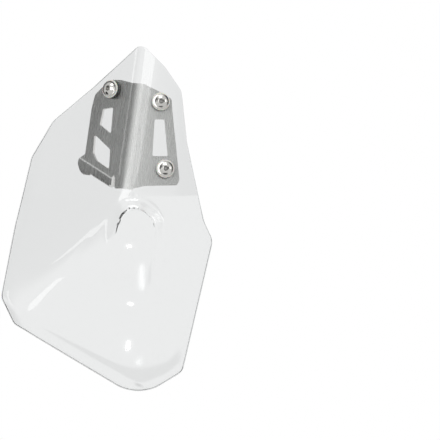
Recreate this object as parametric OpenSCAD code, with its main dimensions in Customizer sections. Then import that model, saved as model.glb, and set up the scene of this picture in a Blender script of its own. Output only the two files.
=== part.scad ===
// Motorcycle hand guard: a clear formed shield bolted through rubber spacers to a folded steel bracket.
// Seen from the front: X runs right, Y to the rear and Z up, towards the tip.
// The origin is the centre of the bolt hole in the bracket's rear tab.

/* [Shield outline] */
// Height of the tip corner above the turn of the ridge
tip_up = 121.5; // [110:0.5:130]
// Depth of the foot corner below the turn of the ridge
foot_down = 180.7; // [165:0.5:195]
// Reach of the left corner from the turn of the ridge
left_reach = 105; // [98:0.5:115]
// Reach of the right corner from the turn of the ridge
right_reach = 75.7; // [72:0.5:84]
// Radius of the tip
tip_r = 7.2; // [4:0.2:10]
// Radius of the foot
foot_r = 37; // [25:1:45]
// Radius of the small corners
corner_r = 10; // [7:0.5:12]
// Radius of the slight turns between corners
turn_r = 20; // [15:1:26]

/* [Shield form] */
// Wall of the clear sheet
wall = 3; // [2:0.1:4]
// Turn-back of the left panel
left_angle = 34; // [28:1:38]
// Turn-back of the right panel
right_angle = 8; // [5:0.5:12]
// Turn-back that the left panel keeps at its lower end
low_left_angle = 17; // [12:1:24]
// Height over which the left panel flattens, below the bracket
left_fade = 110; // [90:5:140]
// Sideways tilt of the ridge beside the bracket
ridge_tilt = 8; // [6:0.5:10]
// Sideways tilt of the ridge below the bracket
ridge_low_tilt = 35.5; // [30:0.5:40]
// Lean of the ridge to the rear towards the tip
tip_lean = 6.5; // [4:0.5:9]
// Lean of the ridge to the rear towards the foot
foot_lean = 5; // [3:0.5:8]
// Drop of the ridge's sideways knee below its turn
knee_down = 8; // [5:0.5:12]
// Softness of that knee
knee_soft = 8; // [5:0.5:12]
// Drop of the line where the ridge leans back again
lean_down = 15; // [10:0.5:20]
// Softness of the lean
lean_soft = 12; // [8:0.5:16]
// Drop below the ridge's turn at which the left panel starts to flatten
fade_down = 5; // [0:0.5:10]
// Softness of the ridge beside the bracket
ridge_soft = 1.4; // [1:0.1:2.4]
// Softness of the ridge where it fades out
ridge_low_soft = 7; // [5:0.5:10]

/* [Lever bulge] */
// Height of the bulge at its head
bulge_h = 10; // [6:0.5:12]
// Radius of its round head
bulge_r = 29; // [25:0.5:32]
// Breadth of the steep wall round the head
bulge_wall = 11; // [9:0.5:14]
// Breadth of the gentle wall on the ridge's side
bulge_left_wall = 28; // [22:1:32]
// Distance of the head's centre to the right of the ridge's turn
bulge_x = 8; // [5:0.5:11]
// Distance of the head's centre below the ridge's turn
bulge_down = 38; // [34:0.5:42]
// Length over which the bulge fades out
bulge_fade = 80; // [60:1:100]
// Slant of its right side
bulge_right_slant = 8.6; // [5:0.2:12]

/* [Shield rims] */
// Breadth of the rim folded back along the foot
rim_w = 10; // [7:0.5:13]
// Fold of the rim along the foot
rim_angle = 34; // [20:1:40]
// Breadth of the left rim at the shoulder
left_rim_w = 7; // [5:0.5:9]
// Fold of the left rim
left_rim_angle = 20; // [12:1:28]
// Breadth of the right rim
right_rim_w = 9.5; // [7:0.5:12]
// Fold of the right rim
right_rim_angle = 16; // [10:1:24]
// Fold of the panel at the right corner
corner_angle = 12; // [6:1:18]
// Fold of the shoulder panel
shoulder_angle = 6; // [3:1:10]
// Breadth of the shoulder panel at the shoulder
shoulder_w = 8; // [6:0.5:9]
// Softness of the folds
rim_soft = 3; // [2.5:0.1:4]

/* [Bracket] */
// Steel sheet
sheet = 2.5; // [2:0.1:3]
// Outer radius of the bend between the two faces
bend_r = 14; // [10:0.5:18]
// Width of the left face from the bend's apex
left_face_w = 45.8; // [44:0.2:48]
// Width of the right face at its foot
right_face_w = 44.4; // [42:0.2:47]
// Height of the bracket at the bend
face_top = 89.5; // [89:0.5:92]
// Outer radius of the small folds
fold_r = 4.5; // [4:0.1:6]
// Fold between the left face and the arm
arm_fold = 32; // [26:1:38]
// Slope of the arm along the left face
arm_slope = 24; // [20:1:28]
// Radius of the windows' corners
window_r = 1.2; // [0.8:0.1:1.5]
// Breadth of the relief notch beside the arm
relief_w = 2.8; // [2:0.1:3.2]
// Breadth of the arm's flat
arm_w = 6.2; // [5:0.2:8]
// Breadth of the arm's rounded end
arm_end_w = 13.8; // [12.5:0.1:15]
// Length of the arm's straight part
arm_l = 35; // [34:0.5:38]
// Width of the rear tab
tab_w = 22; // [20:0.5:24]
// Distance of the tab's bolt hole from the arm
tab_l = 18; // [14:0.5:22]
// Bolt hole in the tab
tab_bore = 8.4; // [6.4:0.1:10.5]

/* [Places of the screws] */
// Upper left screw, left of the bend
upper_left_in = 25.3; // [23:0.1:27]
// Upper left screw, above the bracket's foot
upper_left_up = 82.4; // [80:0.1:83.5]
// Upper right screw, right of the bend
upper_right_in = 18.5; // [17:0.1:20]
// Upper right screw, above the bracket's foot
upper_right_up = 76.2; // [74:0.1:77]
// Lower right screw, right of the bend
lower_right_in = 30.3; // [28:0.1:32]
// Lower right screw, above the bracket's foot
lower_right_up = 20; // [18:0.1:22]

/* [Fixings] */
// Screw thread
screw_d = 6; // [5:0.5:6]
// Clearance holes in the shield and the bracket
hole_d = 6.6; // [6.4:0.1:7]
// Flange of the screw head
flange_d = 13.6; // [12:0.1:15]
// Dome of the screw head
dome_d = 10.5; // [9:0.1:11]
// Height of the screw head with its flange
head_h = 3.6; // [3.2:0.1:4.2]
// Thickness of the flange
flange_t = 1.2; // [0.8:0.1:1.5]
// Hexagon socket across flats
socket_af = 4; // [3:0.5:4]
// Depth of the socket
socket_depth = 2.2; // [1.8:0.1:2.4]
// Nylon washer under the head, outside
head_washer_d = 15.4; // [15:0.1:16]
// Nylon washer under the head, thickness
head_washer_t = 0.8; // [0.6:0.1:1.5]
// Rubber spacer, outside
spacer_d = 15; // [13:0.5:16]
// Nominal gap between the bracket and the shield
spacer_gap = 4; // [3:0.2:6]
// Steel washer behind the bracket, outside
washer_d = 12; // [11.5:0.1:12.5]
// Steel washer behind the bracket, thickness
washer_t = 1.6; // [1:0.1:2]
// Lock nut across flats
nut_af = 10; // [9.5:0.5:10]
// Height of the nut's hexagon
nut_h = 4.6; // [4:0.1:5.5]
// Height of the nut's nylon collar
collar_h = 1.4; // [1:0.1:2]
// Length of thread past the nut
thread_out = 1.5; // [0.5:0.1:3]
// Play between the thread and what is on it
thread_gap = 0.1; // [0.05:0.05:0.15]
// Play between a pad and the formed shield
seat_gap = 0.15; // [0.1:0.05:0.25]

/* [Hidden] */
$fn = 48;

// Rounded polygons: corners as [x, y, radius]
function unit(v) = v / norm(v);
function xy(c) = [c[0], c[1]];
function cross2(a, b) = a[0] * b[1] - a[1] * b[0];
function corner_cut(c, i) =
  let (n = len(c), p = xy(c[i]), a = unit(xy(c[(i + n - 1) % n]) - p), b = unit(xy(c[(i + 1) % n]) - p))
  c[i][2] / tan(acos(a * b) / 2);
function corner_arc(c, i, step) =
  let (n = len(c), p = xy(c[i]), a = unit(xy(c[(i + n - 1) % n]) - p), b = unit(xy(c[(i + 1) % n]) - p))
  let (half = acos(a * b) / 2, r = c[i][2], mid = p + unit(a + b) * r / sin(half))
  let (start = p + a * corner_cut(c, i) - mid, sweep = (180 - 2 * half) * sign(cross2(a, b)) * -1)
  let (steps = max(2, ceil(abs(sweep) * PI / 180 * r / step)))
  r < 0.01 ? [p] : [for (k = [0:steps])
    let (t = sweep * k / steps)
    mid + [start[0] * cos(t) - start[1] * sin(t), start[0] * sin(t) + start[1] * cos(t)]];
function rounded(c, step = sheet * 0.4) = [for (i = [0:len(c) - 1]) each corner_arc(c, i, step)];

// Frames as matrices
function move(v) = [[1, 0, 0, v[0]], [0, 1, 0, v[1]], [0, 0, 1, v[2]], [0, 0, 0, 1]];
function turn_x(a) = [[1, 0, 0, 0], [0, cos(a), -sin(a), 0], [0, sin(a), cos(a), 0], [0, 0, 0, 1]];
function turn_y(a) = [[cos(a), 0, sin(a), 0], [0, 1, 0, 0], [-sin(a), 0, cos(a), 0], [0, 0, 0, 1]];
function turn_z(a) = [[cos(a), -sin(a), 0, 0], [sin(a), cos(a), 0, 0], [0, 0, 1, 0], [0, 0, 0, 1]];
function fold(a) = move([0, 0, -fold_r]) * turn_x(-a) * move([0, 0, fold_r]);
function place(m, v) = let (p = m * [v[0], v[1], v[2], 1]) [p[0], p[1], p[2]];

// Shield outline, clockwise from the tip, as [x, z, corner radius], in shares of its four reaches
OUTLINE = [
  [0.193 * right_reach, tip_up, tip_r],
  [0.461 * right_reach, 0.833 * tip_up, 2 * turn_r],
  [0.646 * right_reach, 0.665 * tip_up, 1.1 * corner_r],
  [0.708 * right_reach, 0.308 * tip_up, turn_r],
  [0.898 * right_reach, -0.165 * foot_down, 1.5 * turn_r],
  [right_reach, -0.256 * foot_down, 1.2 * corner_r],
  [0.657 * right_reach, -0.875 * foot_down, 0.9 * corner_r],
  [0.158 * right_reach, -foot_down, foot_r],
  [-0.894 * left_reach, -0.649 * foot_down, 0.8 * corner_r],
  [-left_reach, -0.522 * foot_down, 0.9 * corner_r],
  [-0.883 * left_reach, -0.169 * foot_down, 4 * turn_r],
  [-0.757 * left_reach, 0.203 * tip_up, corner_r],
  [-0.583 * left_reach, 0.455 * tip_up, turn_r],
  [-0.251 * left_reach, 0.693 * tip_up, 3 * turn_r],
];
RIGHT_TURN = 3;
RIGHT_CORNER = 5;
RIGHT_FOOT = 6;
FOOT = 7;
LEFT_FOOT = 8;
LEFT_CORNER = 9;
SHOULDER = 11;
SHOULDER_TOP = 13;

// A soft ramp: nothing below zero and t above it
function ramp(t, s) = (t + sqrt(t * t + s * s)) / 2;
function smooth(t) = let (u = min(1, max(0, t))) u * u * (3 - 2 * u);

// Ridge: sideways place and depth at each height, turning just below the bracket
function ridge_x(z) =
  tan(ridge_tilt) * (ramp(z + knee_down, knee_soft) - knee_down)
    - tan(ridge_low_tilt) * ramp(-knee_down - z, knee_soft);
function ridge_y(z) =
  tan(tip_lean) * (ramp(z + lean_down, lean_soft) - lean_down)
    + tan(foot_lean) * ramp(-lean_down - z, lean_soft);

// The two panels, which meet softly along the ridge
function panels_y(x, z) =
  let (fade = smooth((-fade_down - z) / left_fade), t = x - ridge_x(z))
  let (right = tan(right_angle), left = tan(left_angle) + (tan(low_left_angle) - tan(left_angle)) * fade)
  let (soft = ridge_soft + (ridge_low_soft - ridge_soft) * fade)
  (right - left) * t / 2 + sqrt(pow((right + left) * t / 2, 2) + soft * soft);

// Bulge over the lever: a round head whose two sides open towards the foot, the left one along the ridge.
// The inset is the distance inside its foot line
BULGE_LEFT = [-cos(ridge_low_tilt), sin(ridge_low_tilt)];
BULGE_RIGHT = [cos(bulge_right_slant), -sin(bulge_right_slant)];
function bulge_inset(x, z) =
  let (v = [x - bulge_x, z + bulge_down])
  let (left = cross2(BULGE_LEFT, v) > 0, right = cross2(v, BULGE_RIGHT) > 0)
  bulge_r - (left && right ? max(v * BULGE_LEFT, v * BULGE_RIGHT)
    : left ? v * BULGE_LEFT
    : right ? v * BULGE_RIGHT
    : norm(v));
LEFT_START = 0.14;
LEFT_END = 0.9;
function bulge_wall_at(x) =
  bulge_wall + (bulge_left_wall - bulge_wall)
    * smooth(((bulge_x - x) / bulge_r - LEFT_START) / (LEFT_END - LEFT_START));
function bulge_y(x, z) =
  -bulge_h * smooth(bulge_inset(x, z) / bulge_wall_at(x))
    * (1 - smooth((-z - bulge_down + bulge_wall) / bulge_fade));

// Folds along lines between two outline corners, inset from the edge, as
// [first corner, second corner, inset at the first, inset at the second, angle, softness]
FOLDS = [
  [FOOT, LEFT_FOOT, rim_w, rim_w, rim_angle, rim_soft],
  [RIGHT_FOOT, FOOT, rim_w * 0.5, rim_w, rim_angle * 0.7, rim_soft * 1.3],
  [LEFT_FOOT, LEFT_CORNER, left_rim_w * 0.8, left_rim_w * 0.4, rim_angle, rim_soft * 0.8],
  [LEFT_CORNER, SHOULDER, left_rim_w * 0.35, left_rim_w, left_rim_angle, rim_soft * 0.8],
  [RIGHT_CORNER, RIGHT_FOOT, right_rim_w * 1.3, right_rim_w, right_rim_angle, rim_soft * 1.3],
  [RIGHT_TURN, RIGHT_FOOT, 0, 0, corner_angle, rim_soft * 1.7],
  [SHOULDER, SHOULDER_TOP, shoulder_w, shoulder_w * 0.4, -shoulder_angle, rim_soft * 1.3],
];
function beyond(f, x, z) =
  let (a = xy(OUTLINE[f[0]]), b = xy(OUTLINE[f[1]]), n = unit([a[1] - b[1], b[0] - a[0]]))
  let (p = a - n * f[2], d = unit(b - n * f[3] - p))
  cross2(d, [x, z] - p);
function folds_y(x, z, i = 0) =
  i == len(FOLDS) ? 0
    : tan(FOLDS[i][4]) * ramp(beyond(FOLDS[i], x, z), FOLDS[i][5]) + folds_y(x, z, i + 1);

// Outer skin of the shield as a depth at each place of the front view, and the skin's slope there
function skin(x, z) = ridge_y(z) + panels_y(x, z) + bulge_y(x, z) + folds_y(x, z);
STEP = wall / 15;
function slope(x, z) =
  let (dx = (skin(x + STEP, z) - skin(x - STEP, z)) / (2 * STEP))
  let (dz = (skin(x, z + STEP) - skin(x, z - STEP)) / (2 * STEP))
  sqrt(1 + dx * dx + dz * dz);

// Mesh of the shield: rings round the bulge's head, circles first and then towards the outline
CENTRE = [bulge_x, -bulge_down];
HEAD_RINGS = [for (k = [-3:0.75:1]) bulge_r - bulge_wall / 2 + k * bulge_wall / 2];
INNER_RINGS = [
  bulge_r / 6,
  bulge_r / 3,
  each [for (r = HEAD_RINGS) if (r > bulge_r * 0.38) r],
  bulge_r * 1.1,
];
OUTER_SHARES = [0.1, 0.2, 0.3, 0.4, 0.5, 0.6, 0.69, 0.77, 0.84, 0.89, 0.93, 0.97, 1];
EDGE_STEP = 0.85 * corner_r;
ARC_STEP = 0.35 * corner_r;
EDGE = let (n = len(OUTLINE)) [for (i = [0:n - 1])
  let (arc = corner_arc(OUTLINE, i, ARC_STEP), next = corner_arc(OUTLINE, (i + 1) % n, ARC_STEP)[0])
  let (last = arc[len(arc) - 1])
  let (runs = max(1, ceil(norm(next - last) / EDGE_STEP)))
  each [each arc, for (k = [1:1:runs - 1]) last + (next - last) * k / runs]];
function ray(p) =
  let (v = p - CENTRE, d = unit(v), out = norm(v), start = INNER_RINGS[len(INNER_RINGS) - 1])
  [
    each [for (r = INNER_RINGS) CENTRE + d * r],
    each [for (s = OUTER_SHARES) CENTRE + d * (start + (out - start) * s)],
  ];
RAYS = [for (p = EDGE) ray(p)];
RINGS = len(RAYS[0]);
SPOKES = len(RAYS);
function outer_point(p) = [p[0], skin(p[0], p[1]), p[1]];
function inner_point(p) = [p[0], skin(p[0], p[1]) + wall * slope(p[0], p[1]), p[1]];
function ring_faces(first, flip) = [for (i = [0:SPOKES - 1], j = [0:RINGS - 2])
  let (i2 = (i + 1) % SPOKES, a = first + i * RINGS + j, b = first + i2 * RINGS + j)
  each flip ? [[a, b, b + 1], [a, b + 1, a + 1]] : [[a, b + 1, b], [a, a + 1, b + 1]]];

module shield_blank() {
  count = SPOKES * RINGS;
  points = [
    for (r = RAYS) each [for (p = r) outer_point(p)],
    for (r = RAYS) each [for (p = r) inner_point(p)],
    outer_point(CENTRE),
    inner_point(CENTRE),
  ];
  faces = [
    each ring_faces(0, false),
    each ring_faces(count, true),
    for (i = [0:SPOKES - 1]) let (i2 = (i + 1) % SPOKES) each [
      [2 * count, i * RINGS, i2 * RINGS],
      [2 * count + 1, count + i2 * RINGS, count + i * RINGS],
      [i * RINGS + RINGS - 1, count + i2 * RINGS + RINGS - 1, i2 * RINGS + RINGS - 1],
      [i * RINGS + RINGS - 1, count + i * RINGS + RINGS - 1, count + i2 * RINGS + RINGS - 1],
    ],
  ];
  polyhedron(points, faces);
}

// Frames of the bracket's faces: X right, Y up along the bend, Z out of the front. The faces are parallel
// to the shield's panels and stand behind them by the wall and the gap, so their apex is behind the ridge
BEND_DIR = unit([tan(ridge_tilt), tan(tip_lean), 1]);
LEFT_OUT = unit([-tan(left_angle), -1, tan(tip_lean) + tan(left_angle) * tan(ridge_tilt)]);
RIGHT_OUT = unit([tan(right_angle), -1, tan(tip_lean) - tan(right_angle) * tan(ridge_tilt)]);
BEND_ANGLE = acos(LEFT_OUT * RIGHT_OUT);
APEX = -unit(LEFT_OUT + RIGHT_OUT) * (wall + spacer_gap) / cos(BEND_ANGLE / 2);
LEFT_RIGHTWARD = cross(BEND_DIR, LEFT_OUT);
LEFT = [for (i = [0:3]) i == 3 ? [0, 0, 0, 1] : [LEFT_RIGHTWARD[i], BEND_DIR[i], LEFT_OUT[i], APEX[i]]];
RIGHT = LEFT * turn_y(BEND_ANGLE);

// Arm and rear tab, folded along a slanted line at the foot of the left face
ARM_START = [-left_face_w * 0.314, face_top * 0.089, 0];
ARM_TURN = 180 - arm_slope;
ARM = LEFT * move(ARM_START) * turn_z(ARM_TURN) * fold(arm_fold);
TAB_AT = arm_l * 0.057;
TAB = ARM * move([0, arm_w, 0]) * fold(90);
BORE = place(TAB, [TAB_AT + tab_w / 2, tab_l, -sheet / 2]);
HOME = move(-BORE);

module at(frame) multmatrix(HOME * frame) children();

// Profile of a folded sheet: from a start along its front face, as runs and folds to the rear,
// [length] or [angle, outer radius]
function walk(parts, p = [0, 0], a = 0, i = 0) =
  i == len(parts) ? []
    : len(parts[i]) == 1
      ? let (q = p + parts[i][0] * [cos(a), sin(a)]) [[q, a], each walk(parts, q, a, i + 1)]
      : let (r = parts[i][1], turn = parts[i][0], mid = p - r * [-sin(a), cos(a)], n = ceil(turn / 7))
        let (arc = [for (k = [1:n]) let (t = a - turn * k / n) [mid + r * [-sin(t), cos(t)], t]])
        [each arc, each walk(parts, arc[n - 1][0], a - turn, i + 1)];
module sheet_profile(parts, start) {
  steps = [[start, 0], each walk(parts, start)];
  rear = [for (k = [len(steps) - 1:-1:0]) steps[k][0] + sheet * [sin(steps[k][1]), -cos(steps[k][1])]];
  polygon([for (s = steps) s[0], each rear]);
}
reach = 2 * right_face_w;
module slab(corners) translate([0, 0, -reach / 2]) linear_extrude(reach) polygon(rounded(corners));

// Fixings as [frame, x, y] on the front of a face
UPPER_LEFT = [LEFT, -upper_left_in, upper_left_up];
UPPER_RIGHT = [RIGHT, upper_right_in, upper_right_up];
LOWER_RIGHT = [RIGHT, lower_right_in, lower_right_up];
function axis(f) = f[0] * move([f[1], f[2], 0]);
function out_dir(f) = [f[0][0][2], f[0][1][2], f[0][2][2]];
// Heights of the shield's outer skin above the face, under the rim of a fixing's washer
function skin_height(f, v, h, rounds = 3) =
  let (p = place(axis(f), [v[0], v[1], h]), miss = (p[1] - skin(p[0], p[2])) * -out_dir(f)[1])
  rounds == 0 ? h : skin_height(f, v, h + miss, rounds - 1);
function rim_heights(f) =
  [for (a = [0:45:315]) skin_height(f, head_washer_d / 2 * [cos(a), sin(a)], spacer_gap + wall)];
function skin_top(f) = max(rim_heights(f)) + seat_gap;
function skin_under(f) = min(rim_heights(f)) - wall - seat_gap;

module on_axis(f, h) multmatrix(HOME * axis(f) * move([0, 0, h])) children();
module ring(outer, inner, h) difference() {
  cylinder(d = outer, h = h);
  translate([0, 0, -1]) cylinder(d = inner, h = h + 2);
}

module shield() color("aliceblue", 0.4) difference() {
  multmatrix(HOME) shield_blank();
  for (f = [UPPER_LEFT, UPPER_RIGHT, LOWER_RIGHT]) on_axis(f, 0)
    cylinder(d = hole_d, h = 4 * (wall + spacer_gap));
}

// Outlines of the bracket's faces, its windows and its arm
BEND_CUT = bend_r * tan(BEND_ANGLE / 2);
FACE_FOOT = -face_top / 60;
FOLD_LEFT = ARM_START[1] + tan(arm_slope) * (left_face_w + ARM_START[0]);
function on_left(shares) =
  [for (c = shares) [-left_face_w * c[0], face_top * c[1], window_r * c[2]]];
function on_right(shares) =
  [for (c = shares) [right_face_w * c[0], face_top * c[1], window_r * c[2]]];
NOTCH = [ARM_START[0] + relief_w, ARM_START[1]];
LEFT_FACE = [
  each on_left([
    [-0.065, 1, 0], [0.175, 1, 0], [0.415, 1.022, 8], [0.633, 1.019, 2.5], [0.847, 0.932, 3.3],
    [0.965, 0.867, 3.3], [1, 0.737, 8],
  ]),
  [-left_face_w, FOLD_LEFT, 0],
  [ARM_START[0], ARM_START[1], 0],
  [ARM_START[0] + relief_w / 3, ARM_START[1] + relief_w / 1.8, relief_w / 5],
  [NOTCH[0], NOTCH[1] - relief_w / 3, relief_w / 5],
  [NOTCH[0] + relief_w / 3, FACE_FOOT - relief_w / 3, relief_w / 1.5],
  each on_left([[0.153, FACE_FOOT / face_top, 0], [-0.065, FACE_FOOT / face_top, 0]]),
];
RIGHT_FACE = on_right([
  [-0.068, FACE_FOOT / face_top, 0], [0.068, FACE_FOOT / face_top, 0], [0.36, 0.04, 8], [0.966, 0.092, 1.7],
  [1, 0.145, 3.3], [0.671, 0.804, 5], [0.631, 0.901, 3.3], [0.36, 0.954, 33], [0.068, 1, 0], [-0.068, 1, 0],
]);
RIGHT_WINDOW = on_right([[0.363, 0.682, 1], [0.552, 0.696, 1], [0.716, 0.354, 1], [0.419, 0.332, 1]]);
UPPER_WINDOW = on_left([[0.742, 0.735, 1], [0.517, 0.755, 1], [0.485, 0.496, 1], [0.769, 0.58, 1]]);
LOWER_WINDOW = on_left([
  [0.854, 0.488, 1], [0.454, 0.351, 1], [0.413, 0.156, 1], [0.731, 0.235, 1.2], [0.83, 0.307, 1.2],
]);
TONGUE = fold_r;
ARM_STEP = TAB_AT + tab_w + relief_w / 3;
function past_arm(shares) =
  [for (c = shares) [arm_l + arm_end_w * c[0], arm_end_w * c[1], arm_end_w * c[2]]];
ARM_OUTLINE = [
  [0, -2 * TONGUE, 0],
  [0, arm_w, 0],
  [ARM_STEP, arm_w, 0],
  [ARM_STEP, arm_w + relief_w, relief_w / 5],
  each past_arm([[0.07, 1, 0.43], [0.54, 0.25, 0.58], [0.06, -0.44, 0.15], [-0.15, -0.65, 0]]),
];

// The faces with their bend, and the arm and the tab as one folded strip each, all in the left face's frame
module faces() intersection() {
  translate([0, 1.1 * face_top, 0]) rotate([90, 0, 0]) linear_extrude(1.25 * face_top)
    sheet_profile([[reach - BEND_CUT], [BEND_ANGLE, bend_r], [reach]], [-reach, 0]);
  union() {
    slab(LEFT_FACE);
    rotate([0, BEND_ANGLE, 0]) slab(RIGHT_FACE);
  }
}
module on_arm() translate(ARM_START) rotate([0, 0, ARM_TURN]) children();
module after_fold(angle) translate([0, 0, -fold_r]) rotate([-angle, 0, 0])
  translate([0, 0, fold_r]) children();
module strip(parts, width) rotate([90, 0, 90]) linear_extrude(width) sheet_profile(parts, [-TONGUE, 0]);
module arm() on_arm() intersection() {
  strip([[TONGUE], [arm_fold, fold_r], [arm_end_w + fold_r]], reach);
  after_fold(arm_fold) slab(ARM_OUTLINE);
}
module tab() on_arm() intersection() {
  translate([TAB_AT, 0, 0])
    strip([[TONGUE], [arm_fold, fold_r], [arm_w], [90, fold_r], [tab_l + tab_w]], tab_w);
  after_fold(arm_fold) translate([0, arm_w, 0]) after_fold(90) union() {
    translate([0, -reach, -reach / 2]) cube([reach, reach + tab_l, reach]);
    translate([TAB_AT + tab_w / 2, tab_l, -reach / 2]) cylinder(d = tab_w, h = reach);
  }
}
module bracket() color("silver") difference() {
  at(LEFT) difference() {
    union() {
      faces();
      arm();
      tab();
    }
    slab(UPPER_WINDOW);
    slab(LOWER_WINDOW);
    rotate([0, BEND_ANGLE, 0]) slab(RIGHT_WINDOW);
  }
  at(TAB) translate([TAB_AT + tab_w / 2, tab_l, -2 * sheet]) cylinder(d = tab_bore, h = 3 * sheet);
  for (f = [UPPER_LEFT, UPPER_RIGHT, LOWER_RIGHT]) on_axis(f, -2 * sheet) cylinder(d = hole_d, h = 3 * sheet);
}

// Stack on each fixing's axis, from the nut behind the bracket to the screw's head
NUT_BACK = -sheet - washer_t - nut_h - collar_h;
NUT_ROUND = nut_af * 0.48;
NUT_WIDE = nut_af * 0.6;
module nut() color("gainsboro") translate([0, 0, NUT_BACK]) difference() {
  union() {
    intersection() {
      translate([0, 0, collar_h]) cylinder(d = nut_af / cos(30), h = nut_h, $fn = 6);
      rotate_extrude() polygon([[0, 0], [NUT_ROUND, 0], [NUT_WIDE, collar_h + nut_af * 0.1],
        [NUT_WIDE, collar_h + nut_h], [0, collar_h + nut_h]]);
    }
    cylinder(d = nut_af * 0.9, h = collar_h + nut_h * 0.1);
  }
  translate([0, 0, -1]) cylinder(d = screw_d + 2 * thread_gap, h = nut_h + collar_h + 2);
}
module washer() color("silver") translate([0, 0, -sheet - washer_t])
  ring(washer_d, screw_d + 4 * thread_gap, washer_t);
module spacer(f) color("dimgray") ring(spacer_d, hole_d, skin_under(f));
module head_washer(f) color("whitesmoke") translate([0, 0, skin_top(f)])
  ring(head_washer_d, hole_d, head_washer_t);
module screw(f) color("lightgray") {
  seat = skin_top(f) + head_washer_t;
  shank = seat + flange_t / 2 - NUT_BACK + thread_out;
  sag = head_h - flange_t;
  dome = (pow(dome_d / 2, 2) + sag * sag) / (2 * sag);
  difference() {
    union() {
      translate([0, 0, seat]) cylinder(d = flange_d, h = flange_t);
      translate([0, 0, seat + flange_t / 2]) intersection() {
        cylinder(d = dome_d, h = head_h - flange_t / 2);
        translate([0, 0, head_h - flange_t / 2 - dome]) sphere(dome);
      }
      translate([0, 0, NUT_BACK - thread_out]) cylinder(d = screw_d, h = shank);
    }
    translate([0, 0, seat + head_h - socket_depth])
      cylinder(d = socket_af / cos(30), h = socket_depth + 1, $fn = 6);
  }
}

shield();
bracket();
on_axis(UPPER_LEFT, 0) screw(UPPER_LEFT);  // screw_upper_left
on_axis(UPPER_RIGHT, 0) screw(UPPER_RIGHT);  // screw_upper_right
on_axis(LOWER_RIGHT, 0) screw(LOWER_RIGHT);  // screw_lower_right
on_axis(UPPER_LEFT, 0) head_washer(UPPER_LEFT);  // head_washer_upper_left
on_axis(UPPER_RIGHT, 0) head_washer(UPPER_RIGHT);  // head_washer_upper_right
on_axis(LOWER_RIGHT, 0) head_washer(LOWER_RIGHT);  // head_washer_lower_right
on_axis(UPPER_LEFT, 0) spacer(UPPER_LEFT);  // spacer_upper_left
on_axis(UPPER_RIGHT, 0) spacer(UPPER_RIGHT);  // spacer_upper_right
on_axis(LOWER_RIGHT, 0) spacer(LOWER_RIGHT);  // spacer_lower_right
on_axis(UPPER_LEFT, 0) washer();  // washer_upper_left
on_axis(UPPER_RIGHT, 0) washer();  // washer_upper_right
on_axis(LOWER_RIGHT, 0) washer();  // washer_lower_right
on_axis(UPPER_LEFT, 0) nut();  // nut_upper_left
on_axis(UPPER_RIGHT, 0) nut();  // nut_upper_right
on_axis(LOWER_RIGHT, 0) nut();  // nut_lower_right
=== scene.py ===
"""Motorcycle hand guard: a clear formed shield on a folded steel bracket, held by three screws.

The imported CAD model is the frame. Sizes are in millimetres and angles in degrees, and the studio's own
distances are in metres. A shape is first made round the turn of the shield's ridge, with X to the right,
Y to the rear and Z up, and then goes to its place in the frame.
"""

import logging
import math
from collections.abc import Iterable, Sequence
from dataclasses import dataclass, field
from enum import Enum

import bmesh
import bpy
from bmesh.types import BMEdge, BMesh, BMVert
from mathutils import Matrix, Vector


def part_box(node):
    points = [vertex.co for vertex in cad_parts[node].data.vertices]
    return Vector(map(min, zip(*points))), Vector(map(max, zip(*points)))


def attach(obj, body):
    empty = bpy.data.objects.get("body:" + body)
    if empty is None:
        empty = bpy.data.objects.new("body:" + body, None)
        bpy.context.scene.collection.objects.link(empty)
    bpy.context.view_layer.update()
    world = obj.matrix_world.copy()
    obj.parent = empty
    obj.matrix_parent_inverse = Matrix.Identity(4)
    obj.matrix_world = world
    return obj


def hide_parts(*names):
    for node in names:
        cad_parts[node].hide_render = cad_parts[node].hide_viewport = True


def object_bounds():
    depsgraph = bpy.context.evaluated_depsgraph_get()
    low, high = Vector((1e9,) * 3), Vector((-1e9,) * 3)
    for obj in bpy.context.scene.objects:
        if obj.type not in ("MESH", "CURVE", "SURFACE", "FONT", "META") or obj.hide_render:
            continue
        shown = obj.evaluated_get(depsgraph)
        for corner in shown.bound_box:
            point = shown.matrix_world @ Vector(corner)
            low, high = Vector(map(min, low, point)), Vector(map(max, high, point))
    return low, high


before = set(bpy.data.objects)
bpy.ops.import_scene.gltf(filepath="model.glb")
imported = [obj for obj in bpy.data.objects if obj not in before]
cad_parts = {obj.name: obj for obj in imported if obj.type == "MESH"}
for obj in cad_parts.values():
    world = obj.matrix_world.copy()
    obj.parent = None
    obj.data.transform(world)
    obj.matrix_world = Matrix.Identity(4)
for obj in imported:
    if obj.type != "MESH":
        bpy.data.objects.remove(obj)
cad_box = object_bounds()

log = logging.getLogger("hand_guard")

MM = 0.001
BODY = "root"

# The photo's size and the place of the ridge's turn in it, in pixels, and the millimetres in a pixel
PHOTO_PIXELS = 440
TURN_PIXEL = (124, 186)
PIXEL = 0.85

# Points of a shape that lie closer than this are one, in millimetres
JOIN = 1e-4
# Faces that are flatter to each other than this are one, in degrees
FLAT_ANGLE = 0.4
# How far a rounded corner's middle lies in from the sharp corner, as a share of its radius
CORNER_SHARE = 0.3

# Most values of a noise pattern lie between these
PATTERN_LOW, PATTERN_HIGH = 0.3, 0.7
WHITE = "FFFFFF"
# Painted shade: the dark colour given to a socket's hollows
SOCKET_PAINTED_SHADE = "262624"


class Side(Enum):
    """The two faces of the bracket, named as seen from the front."""

    LEFT = "left"
    RIGHT = "right"


# Meshes and nodes


def srgb(code: str) -> tuple[float, float, float, float]:
    """Turns an sRGB hex colour to a shader's linear values.

    Args:
        code: Six hex digits.

    Returns:
        Linear red, green and blue, and an alpha of 1.
    """
    parts = [int(code[i : i + 2], 16) / 255 for i in (0, 2, 4)]
    red, green, blue = (p / 12.92 if p <= 0.04045 else ((p + 0.055) / 1.055) ** 2.4 for p in parts)
    return red, green, blue, 1.0


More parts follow.
